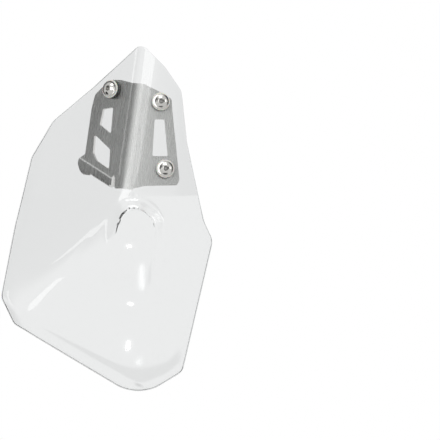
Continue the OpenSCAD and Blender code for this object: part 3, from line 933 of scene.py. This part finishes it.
@dataclass
class Fixing:
    """One screw with all that it holds, from the head on the shield to the nut behind the bracket."""

    name: str
    side: Side
    place: tuple[float, float]
    planes: BracketPlanes
    screw_d: float = 6.0
    hole_d: float = 6.6
    flange_d: float = 13.6
    dome_d: float = 10.5
    head_h: float = 3.6
    flange_t: float = 1.2
    socket_af: float = 4.0
    socket_depth: float = 2.2
    head_washer_d: float = 15.4
    head_washer_t: float = 0.8
    head_washer_edge: float = 0.25
    spacer_end_d: float = 14.5
    spacer_edge: float = 0.5
    spacer_belly: float = 0.2
    washer_d: float = 12.0
    washer_t: float = 1.6
    washer_edge: float = 0.2
    nut_h: float = 4.6
    nut_edge: float = 0.15
    nut_edge_angle: float = 28
    collar_h: float = 1.4
    insert_d: float = 8.2
    insert_in: float = 0.4
    insert_out: float = 0.12
    thread_out: float = 1.5
    thread_gap: float = 0.1
    washer_gap: float = 0.2
    seat_gap: float = 0.15
    rim_places: int = 8
    pitch: float = 1.0
    thread_depth: float = 0.45

    @property
    def axis(self) -> Matrix:
        """The fixing's place on the bracket's face, with Z along the screw towards its head."""
        return self.planes.face(self.side) @ Matrix.Translation((*self.place, 0))

    @property
    def nut_back(self) -> float:
        """Height of the nut's rear end."""
        return -self.planes.sheet - self.washer_t - self.nut_h - self.collar_h

    def rim_heights(self) -> list[float]:
        """Heights of the shield's outer skin above the face, under the rim of the head's washer."""
        form, axis = self.planes.form, self.axis
        turn = -axis.col[2].y
        heights = []
        for k in range(self.rim_places):
            angle, height = math.tau * k / self.rim_places, self.planes.gap + form.wall
            x, y = (self.head_washer_d / 2 * part for part in (math.cos(angle), math.sin(angle)))
            # Each round comes closer to where the line along the screw meets the skin
            for _ in range(3):
                p = axis @ Vector((x, y, height))
                height += (p.y - form.skin(p.x, p.z)) * turn
            heights.append(height)
        return heights

    def ring(
        self, outer: float, inner: float, low: float, high: float, edge: float, belly: float = 0
    ) -> BMesh:
        """Turns a ring with rounded edges.

        Args:
            outer: Outer diameter.
            inner: Inner diameter.
            low: Height of its rear face.
            high: Height of its front face.
            edge: Radius of its outer edges.
            belly: How far its side swells.

        Returns:
            The ring on the fixing's axis.
        """
        r, cut = outer / 2, edge * CORNER_SHARE
        profile = [
            (inner / 2, low), (r - edge, low), (r - cut, low + cut), (r, low + edge),
            (r + belly, (low + high) / 2),
            (r, high - edge), (r - cut, high - cut), (r - edge, high), (inner / 2, high),
        ]
        return turned(profile)

    def screw(self, seat: float) -> BMesh:
        """Turns the screw's head, shank and thread and cuts its hexagon socket.

        Args:
            seat: Height of the flange's seat.

        Returns:
            The screw on the fixing's axis.
        """
        flange, dome, shank = self.flange_d / 2, self.dome_d / 2, self.screw_d / 2
        top, rise = seat + self.head_h, self.head_h - self.flange_t
        ball = (dome * dome + rise * rise) / (2 * rise)
        dome_steps = 9
        angles = [math.asin(dome / ball) * k / dome_steps for k in range(dome_steps + 1)]
        head = [(ball * math.sin(angle), top - ball * (1 - math.cos(angle))) for angle in angles]
        # The flange's top, its rounded rim, its seat and the fillet under the head
        edge = [
            (dome + 0.2, seat + self.flange_t - 0.08), (flange - 0.5, seat + self.flange_t - 0.12),
            (flange - 0.15, seat + self.flange_t * 0.8), (flange, seat + self.flange_t * 0.5),
            (flange - 0.1, seat + 0.15), (flange - 0.35, seat), (shank + 0.3, seat), (shank, seat - 0.3),
        ]
        end = self.nut_back - self.thread_out
        crests = int((-self.planes.sheet - end) / self.pitch)
        root = shank - self.thread_depth
        # Rings stand for the helix: a flat at each root and crest, as shares of the pitch
        root_flat, crest_flat = 0.1, 0.08
        thread = [
            point
            for k in range(crests, 0, -1)
            for point in (
                (root, end + (k + root_flat) * self.pitch), (root, end + (k - root_flat) * self.pitch),
                (shank, end + (k - 0.5 + crest_flat) * self.pitch),
                (shank, end + (k - 0.5 - crest_flat) * self.pitch),
            )
        ]
        low = [(root, end + 0.1), (root - 0.25, end), (0, end)]
        body = turned([*head, *edge, *thread, *low], closed=False)
        corner, proud = self.socket_af / 2 / math.cos(math.pi / 6), 1.0
        socket = bmesh.new()
        bmesh.ops.create_cone(
            socket, cap_ends=True, segments=6, radius1=corner, radius2=corner,
            depth=self.socket_depth + proud,
            matrix=Matrix.Translation((0, 0, top + (proud - self.socket_depth) / 2)),
        )
        return cut_away(body, socket)

    def nut(self, workshop: Workshop) -> BMesh:
        """Takes the CAD nut's mesh and breaks its edges.

        Args:
            workshop: Knows the way to the frame.

        Returns:
            The nut, already in its place.
        """
        bm = workshop.from_cad(f"nut_{self.name}")
        round_off(bm, self.nut_edge, self.nut_edge_angle)
        return bm

    def build(self, workshop: Workshop, finishes: FixingFinishes) -> None:
        """Makes the screw, the washers, the spacer and the nut.

        Args:
            workshop: Puts the pieces into the scene.
            finishes: Their materials.
        """
        heights = self.rim_heights()
        seat = max(heights) + self.seat_gap
        under = min(heights) - self.planes.form.wall - self.seat_gap
        back = -self.planes.sheet
        on_axis = {
            "screw": (self.screw(seat + self.head_washer_t), finishes.screw, "screw_steel"),
            "head_washer": (
                self.ring(
                    self.head_washer_d, self.hole_d, seat, seat + self.head_washer_t, self.head_washer_edge
                ),
                finishes.nylon, "nylon",
            ),
            "spacer": (
                self.ring(self.spacer_end_d, self.hole_d, 0, under, self.spacer_edge, self.spacer_belly),
                finishes.rubber, "rubber",
            ),
            "washer": (
                self.ring(
                    self.washer_d, self.screw_d + 2 * self.washer_gap, back - self.washer_t, back,
                    self.washer_edge,
                ),
                finishes.steel, "washer_steel",
            ),
        }
        for kind, (bm, material, slot) in on_axis.items():
            bm.transform(self.axis)
            node = f"{kind}_{self.name}"
            workshop.piece(bm, f"{node}_made", material, slot, node)
        node = f"nut_{self.name}"
        workshop.piece(self.nut(workshop), f"{node}_made", finishes.steel, "nut_steel", node)
        insert = self.ring(
            self.insert_d, self.screw_d + 2 * self.thread_gap, self.nut_back - self.insert_out,
            self.nut_back + self.insert_in, self.insert_out,
        )
        insert.transform(self.axis)
        workshop.piece(insert, f"nut_insert_{self.name}", finishes.nylon, "nylon")


# The studio


@dataclass(frozen=True)
class Softbox:
    """An area lamp on a stand, aimed at the object. Azimuth 0 is in front of it and 90 to its right.

    Its distance and size are in metres and its power is in watts. A spark is a small oval lamp, which shows
    in what mirrors it and gives matt surfaces no light.
    """

    name: str
    azimuth: float
    elevation: float
    distance: float
    size: tuple[float, float]
    power: float
    spark: bool = False

    def hang(self, aim: Vector) -> None:
        """Hangs the lamp.

        Args:
            aim: The point it looks at.
        """
        around, up = math.radians(self.azimuth), math.radians(self.elevation)
        way = Vector((math.sin(around) * math.cos(up), -math.cos(around) * math.cos(up), math.sin(up)))
        light = bpy.data.lights.new(self.name, "AREA")
        light.shape = "ELLIPSE" if self.spark else "RECTANGLE"
        light.size, light.size_y, light.energy = *self.size, self.power
        lamp = bpy.data.objects.new(self.name, light)
        bpy.context.scene.collection.objects.link(lamp)
        # A lamp isn't seen through the clear sheet, and its light still passes
        lamp.visible_camera = lamp.visible_transmission = False
        lamp.visible_diffuse = not self.spark
        lamp.location = aim + way * self.distance
        lamp.rotation_euler = way.to_track_quat("Z", "Y").to_euler()


@dataclass(frozen=True)
class Flag:
    """A grey card in the white room, which only shiny surfaces show.

    Way is its direction. It has its full shade up to the inner angle from there and ends at the outer one.
    """

    way: tuple[float, float, float]
    inner: float
    outer: float
    shade: str


@dataclass(frozen=True)
class FloorCard:
    """A dark oval card on the floor, which only shiny surfaces show.

    Its centre and radii are in metres. Its soft edge lies between two shares of the radii.
    """

    centre: tuple[float, float, float]
    radii: tuple[float, float]
    shade: str
    edge: tuple[float, float] = (0.8, 1.2)


@dataclass
class Studio:
    """The white floor, the world, the softboxes and the camera.

    Distances are in metres, apart from plane_depth and dome_spot, which are in millimetres from the ridge's
    turn. At plane_depth the camera sees as many millimetres in a pixel as the photo shows.
    """

    workshop: Workshop
    floor_drop: float = 0.06
    floor_r: float = 60.0

    # The floor goes from pale to white between these distances, and sooner to the front and the rear
    white_from: float = 0.6
    white_to: float = 1.5
    pale_scale: tuple[float, float, float] = (1.0, 1.35, 0.0)
    near_floor: str = "DADADA"
    room: str = "C4C4C4"
    floor_cards: tuple[FloorCard, ...] = (
        FloorCard((-0.56, 0.16, 0.0), (0.4, 0.26), "1E1E1E"),
        FloorCard((0.05, -0.13, 0.0), (0.16, 0.06), "484848"),
    )
    flags: tuple[Flag, ...] = (
        Flag((-0.93, -0.25, 0.28), 26, 42, "848484"),
        Flag((0.66, -0.74, 0.13), 21, 30, "646464"),
        Flag((0.1, 0.99, 0.1), 20, 60, "747474"),
    )
    camera_far: float = 12.0
    sensor: float = 36.0
    plane_depth: float = 20.0
    lamps: tuple[Softbox, ...] = (
        Softbox("front_softbox", -7, 14, 2.6, (1.7, 1.9), 21),
        Softbox("left_strip", -50, 8, 2.6, (0.3, 1.2), 2.2),
        Softbox("right_strip", 82, 14, 2.6, (0.5, 1.0), 5),
        Softbox("top_softbox", 10, 74, 2.2, (1.4, 1.0), 13),
    )

    # A small lamp low in front, which the bulge mirrors as a white spot
    dome_spot: tuple[float, float, float] = (12.5, -30.0, -66.0)
    low_lamp: Softbox = Softbox("low_lamp", 17, -41.5, 0.25, (0.005, 0.013), 0.0022, spark=True)

    def floor(self, height: float) -> None:
        """Lays the floor: pale near the object, where it takes the shadow, and plain white farther off.

        Args:
            height: Its height.
        """
        bm = bmesh.new()
        bmesh.ops.create_circle(bm, cap_ends=True, segments=96, radius=self.floor_r)
        bmesh.ops.translate(bm, verts=bm.verts, vec=(0, 0, height))
        laid = as_object(bm, "floor")
        material, tree = new_material("white_studio_floor")
        place = add_node(tree, "ShaderNodeTexCoord").outputs["Object"]
        seen, mirrored = tell_rays(tree)
        reach = oval_reach(tree, place, (0, 0, 0), self.pale_scale)
        far = smooth_share(tree, reach, self.white_from, self.white_to)
        share = add_node(tree, "ShaderNodeMath", {"operation": "MULTIPLY"}, i0=seen, i1=far)
        pale = add_node(tree, "ShaderNodeBsdfDiffuse", Color=srgb(self.near_floor))
        shade = srgb(WHITE)
        for card in self.floor_cards:
            reach = oval_reach(tree, place, card.centre, (1 / card.radii[0], 1 / card.radii[1], 0))
            shade = blend(tree, smooth_share(tree, reach, *card.edge), srgb(card.shade), shade)
        cards = add_node(tree, "ShaderNodeEmission", Color=shade, Strength=1.0)
        near = add_node(tree, "ShaderNodeMixShader", Fac=mirrored, i1=pale.outputs[0], i2=cards.outputs[0])
        white = add_node(tree, "ShaderNodeEmission", Color=srgb(WHITE), Strength=1.0)
        mix = add_node(
            tree, "ShaderNodeMixShader", Fac=share.outputs[0], i1=near.outputs[0], i2=white.outputs[0]
        )
        add_node(tree, "ShaderNodeOutputMaterial", Surface=mix.outputs[0])
        laid.data.materials.append(material)

    def world(self) -> None:
        """Makes the world: a grey room gives plain light, and a white one with grey flags is what is seen."""
        world = bpy.data.worlds.new("studio")
        world.use_nodes = True
        bpy.context.scene.world = world
        tree = world.node_tree
        tree.nodes.clear()
        seen, mirrored = tell_rays(tree)
        way = add_node(tree, "ShaderNodeTexCoord").outputs["Generated"]
        backdrop = srgb(WHITE)
        for flag in self.flags:
            towards = add_node(
                tree, "ShaderNodeVectorMath", {"operation": "DOT_PRODUCT"}, i0=way, i1=flag.way
            )
            outer, inner = math.cos(math.radians(flag.outer)), math.cos(math.radians(flag.inner))
            inside = smooth_share(tree, towards.outputs["Value"], outer, inner)
            shown = add_node(tree, "ShaderNodeMath", {"operation": "MULTIPLY"}, i0=inside, i1=mirrored)
            backdrop = blend(tree, shown.outputs[0], backdrop, srgb(flag.shade))
        room = add_node(tree, "ShaderNodeBackground", Color=srgb(self.room), Strength=1.0)
        white = add_node(tree, "ShaderNodeBackground", Color=backdrop, Strength=1.0)
        mix = add_node(tree, "ShaderNodeMixShader", Fac=seen, i1=room.outputs[0], i2=white.outputs[0])
        add_node(tree, "ShaderNodeOutputWorld", Surface=mix.outputs[0])

    def camera(self) -> None:
        """Sets the camera straight in front, with a long lens, so that it sees as much as the photo."""
        width = PHOTO_PIXELS * PIXEL * MM
        data = bpy.data.cameras.new("camera")
        data.sensor_width, data.lens = self.sensor, self.sensor * self.camera_far / width
        data.clip_end = 100.0
        camera = bpy.data.objects.new("camera", data)
        bpy.context.scene.collection.objects.link(camera)
        middle = PHOTO_PIXELS / 2
        aside, up = (middle - TURN_PIXEL[0]) * PIXEL, (TURN_PIXEL[1] - middle) * PIXEL
        centre = self.workshop.to_row @ Vector((aside, self.plane_depth, up))
        camera.location = centre + Vector((0, -self.camera_far, 0))
        camera.rotation_euler = (math.pi / 2, 0, 0)
        bpy.context.scene.camera = camera

    def build(self) -> None:
        """Builds the whole studio round the object."""
        low, high = cad_box
        self.camera()
        self.floor(low.z - self.floor_drop)
        self.world()
        for lamp in self.lamps:
            lamp.hang((low + high) / 2)
        self.low_lamp.hang(self.workshop.to_row @ Vector(self.dome_spot))
        bpy.context.scene.view_settings.view_transform = "Standard"


def home_of(fixing: Fixing) -> Vector:
    """Finds the ridge's turn from a washer, whose place the CAD gives.

    Args:
        fixing: The fixing that holds the washer.

    Returns:
        The ridge's turn in the frame, in millimetres.
    """
    low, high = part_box(f"washer_{fixing.name}")
    centre = (Vector(low) + Vector(high)) / 2 / MM
    return centre - fixing.axis @ Vector((0, 0, -fixing.planes.sheet - fixing.washer_t / 2))


def main() -> None:
    """Builds the hand guard and its studio."""
    logging.basicConfig(level=logging.INFO, format="%(message)s")
    form = ShieldForm()
    planes = BracketPlanes(form)
    fixings = [
        Fixing("upper_left", Side.LEFT, (-25.3, 82.4), planes),
        Fixing("upper_right", Side.RIGHT, (18.5, 76.2), planes),
        Fixing("lower_right", Side.RIGHT, (30.3, 20), planes),
    ]
    workshop = Workshop(home_of(fixings[1]))
    finishes = FixingFinishes(
        POLISHED_STAINLESS.material(), TURNED_STAINLESS.material(), NATURAL_NYLON.material(),
        MOULDED_RUBBER.material(),
    )
    Studio(workshop).build()
    Shield(form).build(workshop, ClearSheet(), [fixing.axis for fixing in fixings])
    Bracket(planes).build(workshop, BrushedStainless())
    for fixing in fixings:
        fixing.build(workshop, finishes)


if __name__ == "__main__":
    main()
